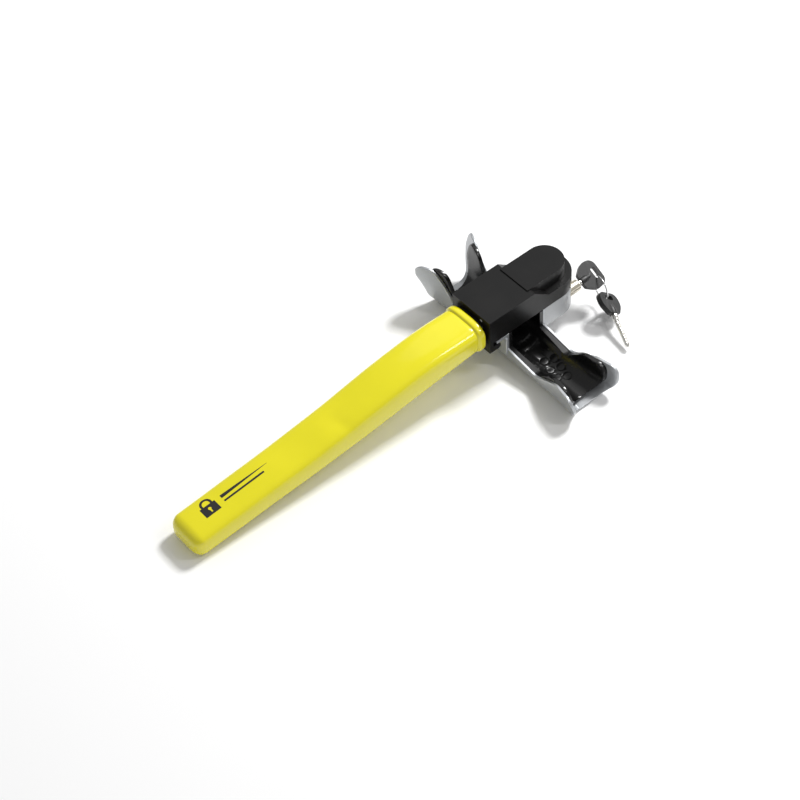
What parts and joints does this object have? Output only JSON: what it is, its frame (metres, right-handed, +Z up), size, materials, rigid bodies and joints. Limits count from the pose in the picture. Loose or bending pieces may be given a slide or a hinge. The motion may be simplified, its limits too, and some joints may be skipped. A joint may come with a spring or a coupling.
{
  "type": "steering wheel lock",
  "caption": "Steering wheel lock: rubber-lined steel cradle clips round the rim, a hooked head with a long handle swings shut over it and a key bolts it.",
  "frame": {"origin": "on the axis of the half-round rim seat, midway under the head", "axes": "+X from the handle towards the pivot and key, +Y along the rim seat, +Z up, away from the bottom of the cradle"},
  "size_m": [0.5224, 0.2333, 0.0795],
  "materials": {
    "cradle_paint": "silver paint, satin",
    "housing_paint": "silver paint on a casting, satin",
    "head_paint": "black enamel, semi-gloss",
    "cover_paint": "black enamel, semi-gloss",
    "bar_paint": "black paint",
    "liner_rubber": "moulded, glossy",
    "sleeve_vinyl": "dipped vinyl, gloss yellow",
    "plated_steel": "zinc plated",
    "spring_steel": "oiled spring steel",
    "bronze": "sintered bronze",
    "brass": "machined brass",
    "nickel": "nickel plated",
    "key_nickel": "nickel plated, polished",
    "ring_wire": "bright steel wire",
    "key_plastic": "black moulded plastic, satin"
  },
  "bodies": {
    "cradle": {"cradle": "cradle_paint", "liner": "liner_rubber", "catch_rail": "cradle_paint", "lock_housing": "housing_paint", "housing_base": "plated_steel", "base_screws": "plated_steel", "wall_screws": "plated_steel", "cylinder_screw": "plated_steel", "pivot_bush": "bronze", "lock_cylinder": "nickel"},
    "arm": {"head": "head_paint", "pivot_cover": "cover_paint", "cover_pins": "plated_steel", "arm_pins": "plated_steel", "arm_bar": "bar_paint", "arm_sleeve": "sleeve_vinyl", "pivot_pin": "plated_steel", "pivot_washer": "plated_steel", "pivot_circlip": "spring_steel"},
    "plug": {"lock_plug": "nickel", "lock_discs": "brass", "side_bar": "brass", "lock_cam": "plated_steel", "cam_screw": "plated_steel"},
    "bolt": {"lock_bolt": "plated_steel", "bolt_spring": "spring_steel"},
    "key": {"key_blade": "key_nickel", "key_grip": "key_plastic"},
    "ring": {"key_ring": "ring_wire"},
    "spare_key": {"spare_blade": "key_nickel", "spare_grip": "key_plastic"}
  },
  "joints": [
    {"name": "arm_swing", "type": "hinge", "parent": "cradle", "child": "arm", "pos_m": [0.0508, 0, 0.02], "axis": [0, 0, 1], "range_deg": [0, 110]},
    {"name": "key_turn", "type": "hinge", "parent": "cradle", "child": "plug", "pos_m": [0.06, -0.017, 0.007], "axis": [1, 0, 0], "range_deg": [0, 90]},
    {"name": "bolt_slide", "type": "slide", "parent": "cradle", "child": "bolt", "axis": [0, 0, 1], "range_m": [0, 0.00495], "deforming": ["bolt_spring"]},
    {"name": "key_pull", "type": "slide", "parent": "plug", "child": "key", "axis": [1, 0, 0], "range_m": [0, 0.042]},
    {"name": "ring_swing", "type": "hinge", "parent": "key", "child": "ring", "pos_m": [0.1059, -0.01965, 0.0056], "axis": [-0.9729, 0.2311, 0], "range_deg": [0, 8]},
    {"name": "spare_swing", "type": "hinge", "parent": "ring", "child": "spare_key", "pos_m": [0.1004, -0.0428, -0.008], "axis": [-0.9729, 0.2311, 0], "range_deg": [0, 8]}
  ],
  "couplings": [
    {"joint": "bolt_slide", "follows": "key_turn", "m_per_rad": 0.00315}
  ]
}
